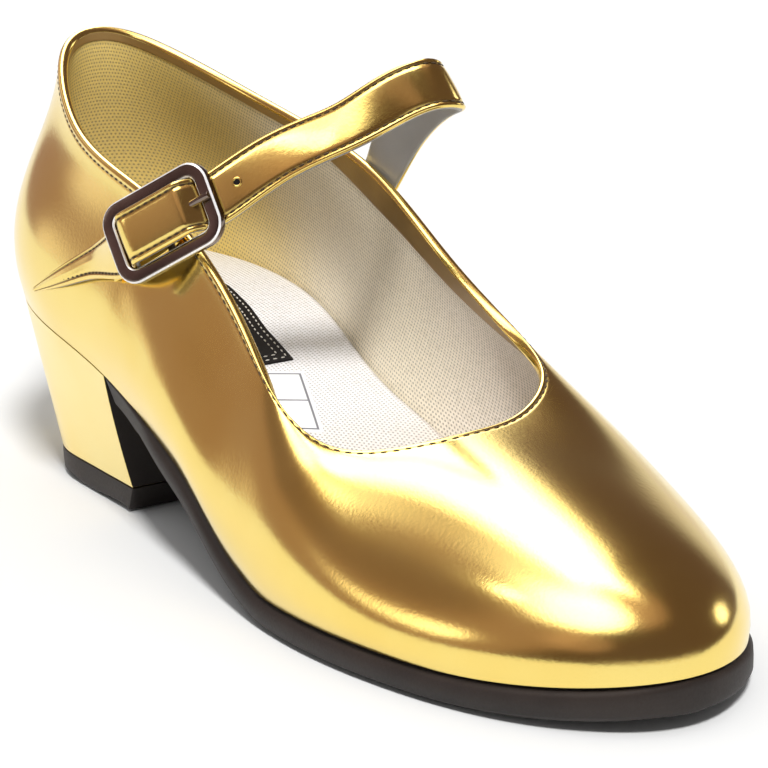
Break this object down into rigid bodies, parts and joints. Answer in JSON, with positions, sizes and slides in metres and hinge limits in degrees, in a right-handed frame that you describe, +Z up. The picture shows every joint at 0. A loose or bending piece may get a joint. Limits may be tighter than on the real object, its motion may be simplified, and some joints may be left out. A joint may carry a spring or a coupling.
{
  "type": "flamenco shoe",
  "caption": "Right flamenco dance shoe: hollow round-toe upper with an open throat, covered block heel, thin sole, and an instep strap with a metal buckle.",
  "frame": {"origin": "centre of the bounding box in plan, on the ground plane that the heel and the forefoot stand on", "axes": "+X towards the toe, +Y towards the inner side of the foot, +Z up"},
  "size_m": [0.2278, 0.074, 0.0952],
  "materials": {
    "gold_leather": "smooth metallic gold foil on leather",
    "heel_cover": "smooth metallic gold foil over a block",
    "black_rubber": "matt black",
    "silver_lining": "silver-grey insole cover",
    "buckle_metal": "polished"
  },
  "bodies": {
    "root": {"upper": "gold_leather", "outsole": "black_rubber", "heel": "heel_cover", "heel_tip": "black_rubber", "insole": "silver_lining", "strap": "gold_leather", "buckle_frame": "buckle_metal", "buckle_prong": "buckle_metal", "buckle_tab": "gold_leather"}
  },
  "joints": []
}
